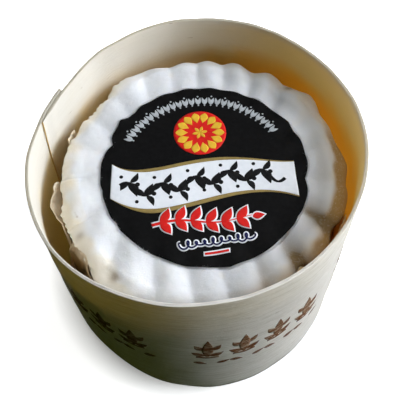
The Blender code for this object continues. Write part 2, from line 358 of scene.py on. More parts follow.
# The gold edges: least width, how much wider at most above and below, and the shares of the ribbon
# over which they widen and narrow
GOLD_LEAST = 0.00012
GOLD_OVER = 0.00105
GOLD_UNDER = 0.00125
GOLD_WIDENS = (0.0, 0.24)
GOLD_NARROWS = (0.45, 1.1)
VINE_SPAN = (-0.0245, 0.0232)
VINE_WAVE = 0.0096
VINE_SWING = 0.0018
VINE_STEM = (0.00065, 0.00045)
VINE_LEAVES = (
    (0.0, 0.0, 60.0, 0.0046, 0.0026, 0.8, -0.12),
    (0.0, 0.0, 130.0, 0.0034, 0.0019, 0.8, 0.12),
    (0.0006, 0.0, -58.0, 0.004, 0.0017, 0.8, 0.12),
)
VINE_LONG_LEAVES = ((0.0, 0.0, 60.0, 0.0054, 0.0026, 0.8, -0.12), *VINE_LEAVES[1:])
VINE_BERRIES = ((0.0027, 0.0006, 0.0007, 16, 3), (-0.0021, -0.002, 0.00055, 14, 3))
SPRIG_START = (-0.015, -0.0178)
SPRIG_END = (0.0132, -0.0153)
SPRIG_PAIRS = 6
SPRIG_STEM = 0.0008
# Side and length of the leaves of a pair, their width, fatness and bend, then the leaf at the tip
SPRIG_LEAVES = ((1.0, 0.0052), (-1.0, 0.0046))
SPRIG_LEAF_SIZE = (0.0025, 0.85, -0.07)
SPRIG_TIP = (12.0, 0.0036, 0.002)
SPRIG_GROW_LONG = 2.2
SPRIG_BORDER = 0.00042
RIPPLE_START = (-0.0072, -0.0243)
RIPPLE_END = (0.0135, -0.0212)
RIPPLE_TURNS = 9
RIPPLE_SWING = (0.00075, 0.00085)
RIPPLE_WIDE = (0.00125, 0.0005)
BAR_START = (-0.0003, -0.0267)
BAR_END = (0.0063, -0.0256)
BAR_WIDE = 0.0007
BAR_BORDER = 0.00036

# The stamp round the band: blocks in degrees, heights over the floor, and leaves given as in the
# print, which on a sprout are turned about the upright
STAMP_BLOCKS = ((-94.0, -41.0), (-28.0, 29.0), (42.0, 96.0), (109.0, 147.0), (214.0, 252.0))
STAMP_PITCH = 0.01
STAMP_MIDDLE = 0.0385
STAMP_LOW = 0.0262
STAMP_LIFT = 0.00004
# The bar under a sprout: shift up, half its length, its bow, how fast that bends, and its width
STAMP_BAR = (-0.0066, 0.0034, 0.0004, 900.0, 0.0012)
STAMP_TALL = ((0.0, -0.007, 0.0, 0.0145, 0.0034, 0.9, 0.0),)
STAMP_SIDES = (
    (0.0, -0.0052, -58.0, 0.0056, 0.0026, 0.8, -0.1),
    (0.0, -0.0008, -40.0, 0.006, 0.0026, 0.8, -0.1),
)
STAMP_SINGLE = (
    (0.0028, 0.0, 20.0, 0.0044, 0.0022, 0.75, 0.0),
    (-0.0042, 0.0012, -20.0, 0.0044, 0.0022, 0.75, 0.0),
)
STAMP_BROWN = {
    "roughness": 0.8,
    "sheen": 0.1,
    "colour": (0.15, 0.06, 0.025),
    "marks": (((260.0, 260.0, 1500.0), 4.0, 0.7, 0.5, 0.62, (0.42, 0.33, 0.24)),),
}

# The paper wrapper. The heights of its edge are given as how far it lies below the cheese's top
WRAP_PAPER = 0.00018
WRAP_GAP = 0.0004
WRAP_FOOT = 0.0012
WRAP_LOW = 0.01
WRAP_HIGH = 0.0023
WRAP_HIGH_SPANS = ((210.0, 225.0, 5.0, 1.0), (296.0, 343.0, 5.0, 1.0))
WRAP_LEAF = 0.0028
WRAP_LEAF_SPAN = (181.5, 206.5, 4.0)
WRAP_LEAF_OFF = 0.0021
WRAP_TAB = 0.0015
WRAP_TAB_SPAN = (157.0, 164.5, 1.5)
WRAP_TEAR = ((0.0003, 0.006, 61), (0.00014, 0.0017, 62))
# Where the paper's edge stands off, and where the paper bulges under its edge
WRAP_FLARES = ((320.0, 344.0, 20.0, 0.0018),)
WRAP_BULGES = ((208.0, 214.0, 12.0, 0.002),)
WRAP_BULGE_UNDER = 0.0035
# How far below its edge the paper starts to stand off: most of the way round, and at the right
WRAP_FLARE_LOW = 0.0052
WRAP_FLARE_RIGHT = 0.012
WRAP_RIGHT_SPAN = (300.0, 440.0, 20.0)
WRAP_CRINKLE_LOW = 0.012
WRAP_FOLDS = ((0.00018, 0.005, 63), (0.00009, 0.0016, 64))
WRAP_FOLD_TALL = 0.35
WRAP_DAMP_SPAN = (250.0, 420.0, 60.0)
# Painted shade on the wrapper's fold at the front left, darker further below its edge
WRAP_SHADE_SPAN = (209.0, 250.0, 8.0)
WRAP_SHADE_UNDER = (0.0002, 0.005)
WRAP_COLUMNS = 760
WRAP_ROWS = 40
PAPER = {
    "roughness": 0.75,
    "sheen": 0.5,
    "colour": (0.92, 0.87, 0.75),
    "marks": ((120.0, 4.0, 0.5, 0.35, 0.7, (0.8, 0.71, 0.54)),),
    # The damp tint is warm; the dark brown is painted shade in the fold at the front left
    "stains": (("damp", (0.86, 0.74, 0.5)), ("soil", (0.34, 0.22, 0.085))),
    "bumps": ((1400.0, 4.0, 0.6, 0.00025),),
    "glow": (0.35, (0.98, 0.8, 0.52)),
}

# Where the photographer stood and the light
CAMERA_PLACE = (0.00033, -0.10896, 0.23368)
CAMERA_AIM = (0.0008, 0.0, 0.0415)
CAMERA_ROLL = -0.34
CAMERA_LENS = 63.0
LAMP_AIM = (0.0, 0.0, 0.05)
# Name, direction, elevation, distance, size, power, colour
LAMPS = (
    ("key", 7.0, 30.0, 0.6, 0.34, 4.5, (0.95, 0.965, 1.0)),
    ("low_side", -16.0, 8.0, 0.55, 0.2, 1.5, (0.95, 1.0, 1.0)),
    ("overhead", 25.0, 74.0, 0.65, 0.75, 2.05, (0.92, 0.955, 1.0)),
    ("rear", 132.0, 6.0, 0.55, 0.24, 2.0, (1.0, 0.97, 0.9)),
    ("table_glow", 255.0, 6.0, 0.5, 0.3, 0.033, (0.82, 0.95, 0.15)),
)
ROOM_COLOUR = (0.014, 0.018, 0.002, 1.0)
FLOOR_REACH = 2.0
# The floor glows less close to the band, a painted contact shadow, between these radii
FLOOR_SHADOW_RADII = (0.0465, 0.0545)
FLOOR_GLOW = (0.25, 0.78)
BACKDROP_RADIUS = 1.9
BACKDROP_HEIGHTS = (-0.05, 2.5)
FLOOR_PATCH = 0.00005


def ease(value, low, high):
    """0 up to low, 1 from high on, with a soft run between. With low above high it falls."""
    t = np.clip((value - low) / (high - low), 0.0, 1.0)
    return t * t * (3.0 - 2.0 * t)


def stretch(angle, start, end, soft):
    """1 between two directions in degrees, falling to 0 over the soft width on each side."""
    middle = (start + end) / 2
    away = np.abs((angle - middle + 180.0) % 360.0 - 180.0)
    half = (end - start) / 2
    return 1.0 - ease(away, half - soft / 2, half + soft / 2)


def patch(angle, reach, strength, span, limits):
    """A soft patch: its strength, within a span, times a soft step in some measure."""
    return strength * stretch(angle, *span) * ease(reach, *limits)


def spans(angle, table):
    """The sizes of a table's spans, added up at each direction."""
    return sum(size * stretch(angle, *span) for *span, size in table)


def waves(angle, table):
    """A sum of cosines round the circle: folds, size, and the direction of each crest."""
    return sum(size * np.cos(folds * np.radians(angle - at)) for folds, size, at in table)


def unevenness(points, *rows):
    """A sum of plane waves for each row of height, wavelength and seed. They run in seeded
    directions through space."""
    total = 0.0
    for height, size, seed in rows:
        draw = np.random.default_rng(seed)
        part = np.zeros(points.shape[:-1])
        for _ in range(PLANE_WAVES):
            along = draw.normal(size=3)
            along *= 2.0 * math.pi / (size * draw.uniform(0.7, 1.5) * np.linalg.norm(along))
            part += np.cos(points @ along + draw.uniform(0.0, 2.0 * math.pi))
        total = total + height * (part / math.sqrt(PLANE_WAVES / 2))
    return total


def polar(radius, angle):
    """How far right and how far away a radius reaches in a direction in degrees."""
    turn = np.radians(angle)
    return radius * np.cos(turn), radius * np.sin(turn)


def band_radius(angle, height):
    """The band's outer radius, blended from the bottom outline to the top one."""
    up = height / BAND_HEIGHT
    wave = up * waves(angle, TOP_WAVES) + (1.0 - up) * waves(angle, BOTTOM_WAVES)
    return BAND_RADIUS * (1.0 + wave)


def band_middle():
    """The centre of the band's outer box seen from above, which is the frame's origin."""
    angle, height = np.meshgrid(np.arange(0.0, 360.0, 0.5), (0.0, BAND_HEIGHT))
    return [(way.min() + way.max()) / 2 for way in polar(band_radius(angle, height), angle)]


MIDDLE = band_middle()


def placed(x, y, z):
    """Points given about the band's axis, as one array in the frame's own coordinates."""
    x, y, z = np.broadcast_arrays(x - MIDDLE[0], y - MIDDLE[1], z)
    return np.stack([x, y, z], axis=-1)


def around(centre, radius, angle, z):
    """Points at these radii and directions about a centre."""
    x, y = polar(radius, angle)
    return placed(centre[0] + x, centre[1] + y, z)


def dented_radius(angle, height):
    """The radius of the band's outer face with its small dents."""
    dents = unevenness(around(AXIS, BAND_RADIUS, angle, height), BAND_DENTS)
    return band_radius(angle, height) + dents - BAND_DENTS[0]


def lobe_count(angle):
    """How many lobes lie between direction 0 and this one. A groove runs at each whole number."""
    return LOBES * angle / 360.0 + LOBE_SHIFT + waves(angle, LOBE_WAVES)


def leaned(angle, radius):
    """The direction, at the middle of the rind's top, of the leaning groove that passes here."""
    turn = np.radians(angle)
    lean = LEAN_FOLD * np.sin(2.0 * turn) + LEAN_FRONT * (1.0 - np.sin(turn)) / 2
    return angle - lean * (radius - LEAN_AT) / LEAN_RUN


def groove(angle, radius):
    """How far the rind sinks, 0 on a lobe's crest and about 1 in a groove: 1 less a half sine
    across each lobe, whose foot is rounded so that the grooves have soft floors."""
    half_sine = np.sin(math.pi * (lobe_count(leaned(angle, radius)) % 1.0))
    rise = np.hypot(half_sine, FLUTE_SOFT) - FLUTE_SOFT
    depth = 1.0 + spans(angle, GROOVE_SPANS)
    return depth * (1.0 - rise / (math.hypot(1.0, FLUTE_SOFT) - FLUTE_SOFT))


def dip(angle, radius):
    """1 over each groove and 0 over each crest, along a cosine."""
    return 0.5 + 0.5 * np.cos(2.0 * math.pi * lobe_count(leaned(angle, radius)))


def oval(angle, height):
    """The factor that makes the rind oval, fading out toward its round foot."""
    wide = CHEESE_OVAL * np.cos(2.0 * np.radians(angle - CHEESE_OVAL_AT))
    return 1.0 + wide * ease(height, 0.0, FOOT_FADE)


def dome(radius):
    """How far the cheese's low dome stands over its edge."""
    return TOP_RISE * (1.0 - (radius / CHEESE_RADIUS) ** 2)


def top_height(radius, angle):
    """The height of the rind's flat top: a low dome, less the grooves, which start under the
    label and fade toward the torn lip, where a creased panel stands a little proud."""
    torn = stretch(angle, *SKIRT_SPAN) * ease(radius, SKIRT_START, SKIRT_LIP)
    sink = FLUTE_DEPTH * ease(radius, FLUTE_START, FLUTE_FULL) * groove(angle, radius)
    panel = PANEL_STEP * stretch(angle, *PANEL_SPAN) * ease(radius, *PANEL_START)
    crease = 0.0
    for at, start, depth in CREASES:
        away = radius * np.radians(angle - at) / CREASE_WIDE
        crease = crease + depth * np.exp(-(away**2)) * ease(radius, start, start + CREASE_RUN)
    return CHEESE_TOP + dome(radius) - sink * (1.0 - 0.75 * torn) + panel - crease


def unit(vectors):
    """The same directions at length 1."""
    return vectors / np.linalg.norm(vectors, axis=1, keepdims=True)


def facing_share(normals, points, facing):
    """Above 0 for each face that looks the right way: up, or out from the band's axis."""
    return normals[:, 2] if facing == "up" else (normals * points)[:, :2].sum(axis=1)


def put_in_scene(name, data):
    """An object of this data, in the scene."""
    made = bpy.data.objects.new(name, data)
    bpy.context.scene.collection.objects.link(made)
    return made


def make_mesh(name, points, quads, material, facing=None, triangles=NO_TRIANGLES):
    """A smooth-shaded object from arrays of points and faces, which are turned outwards: a closed
    skin by the volume inside it, an open one by whether it should face up or out."""
    every = np.concatenate([quads[:, [0, 1, 2]], quads[:, [0, 2, 3]], triangles])
    a, b, c = (points[every[:, corner]] for corner in range(3))
    if facing is None:
        outward = (a * np.cross(b, c)).sum()
    else:
        outward = facing_share(np.cross(b - a, c - a), a, facing).sum()
    if outward < 0.0:
        quads, triangles = quads[:, ::-1], triangles[:, ::-1]
    mesh = bpy.data.meshes.new(name)
    mesh.from_pydata(points, [], quads.tolist() + triangles.tolist())
    mesh.update()
    mesh.shade_smooth()
    mesh.materials.append(material)
    return put_in_scene(name, mesh)


def grid_faces(index, ring=False):
    """The four-sided faces between neighbours in a grid of point numbers, and round a ring."""
    if ring:
        index = np.concatenate([index, index[:, :1]], axis=1)
    corners = (index[:-1, :-1], index[:-1, 1:], index[1:, 1:], index[1:, :-1])
    return np.stack(corners, axis=-1).reshape(-1, 4)


def make_ring(name, grid, material, poles=(), facing=None):
    """A surface over a grid whose last column joins its first. Each pole, 0 or -1, closes that end
    row to its middle."""
    points = grid.reshape(-1, 3)
    index = np.arange(len(points)).reshape(grid.shape[:2])
    fans = [NO_TRIANGLES]
    for pole in poles:
        edge, beside = index[pole], np.roll(index[pole], -1)
        ends = (beside, edge) if pole == 0 else (edge, beside)
        fans.append(np.stack([*ends, np.full(len(edge), len(points))], axis=-1))
        points = np.concatenate([points, grid[pole].mean(axis=0, keepdims=True)])
    quads = grid_faces(index, ring=True)
    return make_mesh(name, points, quads, material, facing, np.concatenate(fans))


def add_fields(made, shape, **fields):
    """Stores numbers for the points of a grid of this shape, and 0 for the poles after it."""
    for name, values in fields.items():
        every = np.zeros(len(made.data.vertices), np.float32)
        every[: shape[0] * shape[1]] = np.broadcast_to(values, shape).ravel()
        made.data.attributes.new(name, "FLOAT", "POINT").data.foreach_set("value", every)


def thicken(made, thickness, offset=1.0):
    """Gives an open sheet its thickness, on the side that it faces, or behind it at offset -1."""
    shell = made.modifiers.new("Thickness", "SOLIDIFY")
    shell.thickness = thickness
    shell.offset = offset
    shell.use_even_offset = False


def finish_piece(made, slot, *nodes):
    """Fixes the piece to the part's one body and hides the solids that it stands for. The slot is
    not used.
    """
    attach(made, "root")
    if nodes:
        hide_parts(*nodes)


class Finish:
    """A material that is built one node at a time."""

    def __init__(self, name, roughness, specular=0.5):
        self.material = bpy.data.materials.new(name)
        self.material.use_nodes = True
        self.tree = self.material.node_tree
        self.shader = self.tree.nodes["Principled BSDF"]
        self.set("Roughness", roughness)
        self.set("Specular IOR Level", specular)

    def set(self, socket, value):
        """Sets or wires one socket of the main shader."""
        self.feed(self.shader.inputs[socket], value)

    def feed(self, socket, value):
        if value is None:
            return
        if isinstance(value, bpy.types.NodeSocket):
            self.tree.links.new(value, socket)
        elif socket.type == "RGBA":
            socket.default_value = (*value, 1.0)
        else:
            socket.default_value = value

    def add(self, kind, output, inputs, **settings):
        """Adds a node with its settings and inputs, and gives one of its outputs."""
        made = self.tree.nodes.new("ShaderNode" + kind)
        for key, value in settings.items():
            setattr(made, key, value)
        for key, value in inputs.items():
            self.feed(made.inputs[key], value)
        return made.outputs[output]

    def place(self):
        return self.add("TexCoord", "Object", {})

    def field(self, name, output="Fac"):
        return self.add("Attribute", output, {}, attribute_name=name)

    def noise(self, vector, scale, detail=3.0, roughness=0.5):
        """Noise at one scale, or at one for each axis."""
        if isinstance(scale, tuple):
            vector = self.add("Mapping", "Vector", {"Vector": vector, "Scale": scale})
            scale = 1.0
        inputs = {"Vector": vector, "Scale": scale, "Detail": detail, "Roughness": roughness}
        return self.add("TexNoise", "Fac", inputs)

    def between(self, value, low, high, start=0.0, end=1.0):
        return self.add("MapRange", "Result", {0: value, 1: low, 2: high, 3: start, 4: end})

    def maths(self, operation, first, second):
        return self.add("Math", "Value", {0: first, 1: second}, operation=operation)

    def tint(self, share, first, second):
        return self.add("Mix", 2, {0: share, 6: first, 7: second}, data_type="RGBA")

    def marked(self, first, noise, low, high, second, strength=1.0, where=None):
        """One colour that turns to another, up to a strength, where noise runs from low to high."""
        share = self.between(noise, low, high, 0.0, strength)
        if where is not None:
            share = self.maths("MULTIPLY", share, where)
        return self.tint(share, first, second)

    def stained(self, colour, stains):
        """A colour tinted by one stored field after another."""
        for name, shade in stains:
            colour = self.tint(self.field(name), colour, shade)
        return colour

    def bump(self, height, depth, before=None):
        inputs = {"Height": height, "Distance": depth, "Strength": 1.0, "Normal": before}
        return self.add("Bump", "Normal", inputs)

    def glow_through(self, share, colour, normal):
        """Lets part of the light through a thin sheet, tinted on the way."""
        through = self.add("BsdfTranslucent", "BSDF", {"Color": colour, "Normal": normal})
        inputs = {0: share, 1: self.shader.outputs["BSDF"], 2: through}
        mixed = self.add("MixShader", "Shader", inputs)
        self.feed(self.tree.nodes["Material Output"].inputs["Surface"], mixed)


def veneer_finish():
    """Pale poplar with fine fibres and a few brown nicks, amber where the cheese has stained it.
    That amber also paints shade near the cheese and, on the right, the orange glow of light coming
    through the wall. Painted light also lies low on the inner left as a golden glow, on the front
    of the rim as a highlight, and on the inner lap's end as a glow. Part of the light comes
    through, and the stain tints that light too."""
    wood = Finish("poplar_veneer", 0.62, 0.25)
    grain, worn = wood.field("grain", "Vector"), wood.field("worn")
    figure = wood.noise(grain, (14.0, 150.0, 7.0))
    cloud = wood.noise(grain, (45.0, 60.0, 7.0))
    fibres = wood.noise(grain, (70.0, 1500.0, 7.0), 5.0, 0.7)
    specks = wood.noise(grain, (420.0, 1500.0, 7.0), 2.0)
    nicks = wood.noise(grain, (190.0, 1300.0, 7.0), 1.0)
    colour = wood.marked((0.91, 0.905, 0.88), figure, 0.35, 0.68, (0.85, 0.845, 0.81))
    colour = wood.marked(colour, cloud, 0.5, 0.75, (0.78, 0.78, 0.75), 0.5)
    colour = wood.marked(colour, fibres, 0.46, 0.64, (0.6, 0.59, 0.53), 0.8, worn)
    colour = wood.marked(colour, specks, 0.58, 0.68, (0.96, 0.96, 0.95), 0.85, worn)
    colour = wood.tint(wood.between(worn, 0.25, 1.0, 0.5, 0.0), colour, (0.8, 0.768, 0.69))
    colour = wood.marked(colour, nicks, 0.77, 0.8, (0.2, 0.12, 0.06), 0.8)
    wood.set("Base Color", wood.stained(colour, VENEER_STAINS_AND_LIGHT))
    normal = wood.bump(fibres, 0.00028)
    wood.set("Normal", wood.bump(figure, 0.0003, normal))
    # The amber stain field: a real stain, painted shade near the cheese and a painted orange glow
    # on the right; it also tints the light let through
    stain_shade_and_glow = wood.field("stain_shade_and_glow")
    share = wood.between(wood.field("wet"), 0.0, 1.0, 0.22, 0.61)
    for field, more in ((stain_shade_and_glow, 0.24), (wood.field("dry"), -0.07), (wood.field("damp"), 0.26)):
        share = wood.maths("ADD", share, wood.maths("MULTIPLY", field, more))
    wood.glow_through(share, wood.tint(stain_shade_and_glow, (0.9, 0.71, 0.3), (0.96, 0.53, 0.075)), normal)
    return wood.material


def surface_finish(name, roughness, sheen, colour, marks, stains=(), bumps=(), glow=None, deep=()):
    """A finish from rows of numbers. A mark is a noise's scale, detail and roughness, the values
    between which it comes in, and its colour. A bump is such a noise and its depth. The glow is the
    share of the light that comes through a sheet, and its tint."""
    made = Finish(name, roughness, sheen)
    place = made.place()
    for *noise, low, high, shade in marks:
        colour = made.marked(colour, made.noise(place, *noise), low, high, shade)
    made.set("Base Color", made.stained(colour, stains))
    normal = None
    for *noise, depth in bumps:
        normal = made.bump(made.noise(place, *noise), depth, normal)
    made.set("Normal", normal)
    for socket, value in deep:
        made.set("Subsurface " + socket, value)
    if glow:
        made.glow_through(*glow, normal)
    return made.material


def glowing_finish(name, colour, glow, strength):
    """A plain matt colour with a glow of its own."""
    made = Finish(name, 0.9)
    made.set("Base Color", colour)
    made.set("Emission Color", glow)
    made.set("Emission Strength", strength)
    return made


def band_path():
    """The strip's sections: the direction of each, and how far the inner lap draws it inwards."""
    lap = LAP_INNER_END - LAP_OUTER_END
    along = np.linspace(0.0, 360.0 + lap, BAND_SECTIONS)
    inward = (VENEER + LAP_GAP) * (1.0 - ease(along, lap, lap + LAP_EASE))
    return along[:, None], LAP_INNER_END - along[:, None], inward[:, None]


def band_profile():
    """The strip's upright section as depth behind the outer face, and height: up that face, over
    an edge of two quarter rounds, and down the inner face."""
    up = np.linspace(0.0, BAND_HEIGHT - RIM_ROUND, FACE_ROWS)
    turn = np.linspace(0.0, math.pi / 2, EDGE_ROWS)[1:]
    depth = np.concatenate([np.zeros(FACE_ROWS), RIM_ROUND * (1.0 - np.cos(turn))])
    height = np.concatenate([up, BAND_HEIGHT - RIM_ROUND * (1.0 - np.sin(turn))])
    return np.concatenate([depth, VENEER - depth[::-1]]), np.concatenate([height, height[::-1]])


def build_band(wood):
    """The veneer strip: its section carried round the hand-bent outline, with small dents and a
    top edge cut not quite true, and closed at both ends."""
    along, angle, inward = band_path()
    depth, height = band_profile()
    half = len(depth) // 2
    arc = BAND_RADIUS * np.radians(along) + 0.0 * height
    thin = LAP_THIN + (1.0 - LAP_THIN) * ease(arc, 0.0, LAP_THIN_RUN)
    radius = dented_radius(angle, height) - inward - depth * thin
    rag = RIM_LOW + unevenness(around(AXIS, BAND_RADIUS, angle, 0.0), RIM_RAG)
    lift = rag * ease(height, BAND_HEIGHT * 0.9, BAND_HEIGHT)
    grid = around(AXIS, radius, angle, np.maximum(height - lift, 0.0))
    index = np.arange(radius.size).reshape(radius.shape)
    quads = [grid_faces(index, ring=True)]
    for end, flip in ((index[0], 1), (index[-1], -1)):
        quads.append(grid_faces(np.stack([end[:half], end[: half - 1 : -1]]))[:, ::flip])
    made = make_mesh("veneer_band", grid.reshape(-1, 3), np.concatenate(quads), wood)
    inner = np.arange(2 * half) >= half
    grain = np.stack(np.broadcast_arrays(arc, height, 0.5 * inner), axis=-1).astype(np.float32)
    field = made.data.attributes.new("grain", "FLOAT_VECTOR", "POINT")
    field.data.foreach_set("vector", grain.ravel())
    add_fields(made, radius.shape, **band_stains_and_light(grid, along, angle, height, inner))
    finish_piece(made, "veneer", "wood_band")


def band_stains_and_light(grid, along, angle, rise, inner):
    """How strongly each stain and each painted light or shade shows at each point of the band: a
    span round it times a soft step in height, which drifts up and down in blots."""
    blot = unevenness(grid, BAND_BLOTS)
    left = stretch(angle, *LEFT_SPAN)
    wet = patch(angle, rise, *WET)
    near = ease(rise + 0.5 * blot, *(at + more * wet for at, more in STAIN_SHADE_GLOW_HIGH))
    clean = 1.0 - stretch(angle, *CLEAN_SPAN)
    damp = ease(rise, *(at + more * left for at, more in DAMP_HIGH))
    damp = damp * stretch(angle, *DAMP_SPAN) * (1.0 + 0.4 * left)
    # Olive on the inner right and back, weaker up toward the rim and left out high on the back wall
    olive_gap = np.maximum(patch(angle, rise, *OLIVE_GAP_HIGH), 0.85 * stretch(angle, *OLIVE_GAP_SPAN))
    olive_tint = 0.75 * stretch(angle, *OLIVE_TINT_HIGH[1]) - patch(angle, rise, *OLIVE_TINT_HIGH)
    cut = ease(rise, BAND_HEIGHT - RIM_ROUND * 1.2, BAND_HEIGHT)
    return {
        # Amber stain with painted shade near the cheese, strongest over the wet span as a painted
        # orange glow
        "stain_shade_and_glow": inner * near * (0.12 * clean + 0.83 * wet),
        # Painted golden glow low on the inner left, in the cheese's shadow
        "painted_golden_glow": inner * patch(angle, rise + blot, *PAINTED_GOLDEN_GLOW),
        "damp": inner * damp,
        "dry": inner * patch(angle, rise, *DRY),
        # Painted glow on the inner lap's end face
        "lap_end_painted_glow": along == 0.0,
        "worn": np.where(inner, 0.25, 1.0),
        "wet": inner * wet,
        "olive_tint": inner * olive_tint * (1.0 - olive_gap) * (rise < WET[2][0]),
        "cut": cut,
        # Painted highlight on the front of the rim
        "front_rim_painted_light": cut * stretch(angle, *FRONT_RIM_LIGHT_SPAN),
    }


def drum_rows():
    """The turned shape under the flutes: a flat top, a quarter ellipse, a flank that bulges by a
    sine, and a round foot. Gives rows of radius, height, outward direction in degrees above level,
    and share round the shoulder."""
    t = np.arange(1, SHOULDER_ROWS + 1) / SHOULDER_ROWS
    turn = np.radians(90.0 * t)
    side = PLATEAU + SHOULDER_WIDE * np.sin(turn)
    fall = SHOULDER_HIGH * (1.0 - np.cos(turn))
    u = (np.arange(1, FLANK_ROWS + 1) / FLANK_ROWS) ** FLANK_SPREAD
    flank_top = CHEESE_TOP - SHOULDER_HIGH
    flank = CHEESE_RADIUS + FLANK_BULGE * np.sin(math.pi * u)
    turn = np.radians(90.0 * np.arange(1, FOOT_ROWS + 1) / FOOT_ROWS)
    foot = CHEESE_RADIUS - FOOT_ROUND * (1.0 - np.cos(turn))
    parts = (
        (np.linspace(*COARSE_TOP), CHEESE_TOP, 90.0, 0.0),
        (np.linspace(*FINE_TOP), CHEESE_TOP, 90.0, 0.0),
        (side, CHEESE_TOP - fall, 90.0 * (1.0 - t), t),
        (flank, flank_top + (FOOT_ROUND - flank_top) * u, 0.0, 1.0),
        (foot, FOOT_ROUND * (1.0 - np.sin(turn)), 0.0, 1.0),
    )
    return np.concatenate([np.stack(np.broadcast_arrays(*part)) for part in parts], axis=1)


def skirt_section(t, reach, rag):
    """The torn skirt's section: it droops out to a thin lip at this reach, ragged near its edge,
    and turns back under it. Gives the radius and the fall below the top."""
    out = np.clip(t / SKIRT_LIP_AT, 0.0, 1.0)
    back = np.clip((t - SKIRT_LIP_AT) / (1.0 - SKIRT_LIP_AT), 0.0, 1.0)
    radius = SKIRT_START + (reach - SKIRT_START) * out + rag * out**9
    radius = radius - SKIRT_UNDERCUT * ease(back, 0.0, 0.5)
    return radius, SKIRT_FALL * out**SKIRT_DROOP + (SHOULDER_HIGH - SKIRT_FALL) * back


def skirt_reach(angle):
    """Where the torn lip ends, further out toward the viewer's left front, and its fine rag."""
    ring = around(AXIS, SKIRT_LIP, angle, 0.0)
    reach = SKIRT_LIP + unevenness(ring, SKIRT_WAVER) + spans(angle, SKIRT_REACH)
    return reach, unevenness(ring, SKIRT_RAG)


def rind_surface():
    """Every point of the rind, as radius, direction and height: the drum, sunk by the flutes along
    its outward direction, and drawn over to the torn skirt on one side."""
    radius, height, lean, t = (row[:, None] for row in drum_rows())
    angle = np.arange(RIND_COLUMNS)[None, :] * 360.0 / RIND_COLUMNS
    torn = stretch(angle, *SKIRT_SPAN)
    foot = ease(height, 0.0, FOOT_FADE)
    sink = FLUTE_DEPTH * groove(angle, radius) * foot * (1.0 - torn)
    sink = sink * (1.0 + (FLUTE_SIDE - 1.0) * ease(t, 0.3, 1.0))
    sine = np.sin(np.radians(lean)) * ease(height, CHEESE_TOP - SHOULDER_HIGH, CHEESE_TOP)
    swell = spans(angle, SWELLS) * ease(t, 0.3, 0.8) * ease(height, *SWELL_HIGH)
    drum_radius = radius + swell - sink * np.cos(np.radians(lean))
    drum_height = height + dome(PLATEAU) * sine**2 - sink * sine
    skirt_radius, fall = skirt_section(t, *skirt_reach(angle))
    under = SKIRT_LIP - SKIRT_UNDERCUT
    low = t >= 1.0
    skirt_height = np.where(low, drum_height, top_height(skirt_radius, angle) - fall)
    skirt_radius = np.where(low, drum_radius + (under - CHEESE_RADIUS) * foot, skirt_radius)
    side_radius = drum_radius + (skirt_radius - drum_radius) * torn
    side_height = drum_height + (skirt_height - drum_height) * torn
    flat_radius = radius * (1.0 - torn * (1.0 - SKIRT_START / PLATEAU))
    flat = t == 0.0
    radius = np.where(flat, flat_radius, side_radius)
    height = np.maximum(np.where(flat, top_height(flat_radius, angle), side_height), 0.0)
    return radius * oval(angle, height), angle + 0.0 * radius, height, t + 0.0 * angle


def rind_points():
    """The rind as points, radius, direction and height, with small lumps along the way out, which
    is up on the flat top and level from the shoulder's end on."""
    radius, angle, height, t = rind_surface()
    grid = around(CHEESE_CENTRE, radius, angle, height)
    lumps = unevenness(grid, *RIND_LUMPS) * ease(height, 0.0, 0.004) * ease(radius, *LUMPS_START)
    lean = (1.0 - np.clip(t, 0.0, 1.0)) * math.pi / 2
    outward = np.stack([*polar(np.cos(lean), angle), np.sin(lean)], axis=-1)
    return grid + lumps[..., None] * outward, radius, angle, height


def spots(x, y, table):
    """Soft round stains on the rind: direction, distance from its middle, size and strength."""
    total = np.zeros_like(x)
    for at, out, size, strength in table:
        at_x, at_y = polar(out, at)
        total += strength * np.exp(-((x - at_x) ** 2 + (y - at_y) ** 2) / size**2)
    return total


def build_rind(white):
    """The cheese's downy skin. Its colours are spans round it, times soft steps outwards, which
    drift in and out in blots. Some of them paint shade: a grey at the back, the back left, the
    front and beside the label on the right, the darkness of the bare right shoulder, and brown in
    the grooves at the front right."""
    grid, radius, angle, height = rind_points()
    made = make_ring("downy_rind", grid, white, poles=(0, -1))
    blot = unevenness(grid, RIND_BLOTS)
    ivory = np.maximum(*(patch(angle, radius + blot, *row) for row in IVORY_PATCHES))
    ivory += patch(angle, radius, *PANEL_TINT)
    ivory = np.maximum(ivory, 0.9 * ease(height + blot, *FLANK_TINT_HIGH))
    # Painted shade: brown in the grooves at the front right
    deep = (groove(angle, radius) / 1.95) ** 2 * patch(angle, radius + blot, *GROOVE_SHADE_BROWN)
    brown = np.maximum(spots(*polar(radius, angle), BROWN_SPOTS), deep)
    # Bare right shoulder with painted shade and painted amber bounce light
    shown = radius + 0.001 * stretch(angle, *BARE_AND_SHADE_WIDER_SPAN) + 0.25 * blot
    # A grey tint that paints shade on the rind
    thin = 0.6 * stretch(angle, *SHADE_BACK_SPAN) * (1.0 - patch(angle, radius, *WHITE_BACK))
    thin += 0.8 * stretch(angle, *SHADE_BACK_LEFT_SPAN) * (1.0 - patch(angle, radius, *TORN))
    thin += 0.6 * stretch(angle, *SHADE_FRONT_SPAN)
    thin = np.maximum(thin, ease(radius, *SHADE_BESIDE_LABEL_OUT) * spans(angle, SHADE_BESIDE_LABEL))
    add_fields(
        made,
        radius.shape,
        thin=thin,
        ivory=np.clip(ivory, 0.0, 1.0),
        brown=np.clip(brown, 0.0, 1.0),
        bare=patch(angle, shown, *BARE_AND_SHADE),
    )
    finish_piece(made, "rind", "cheese")


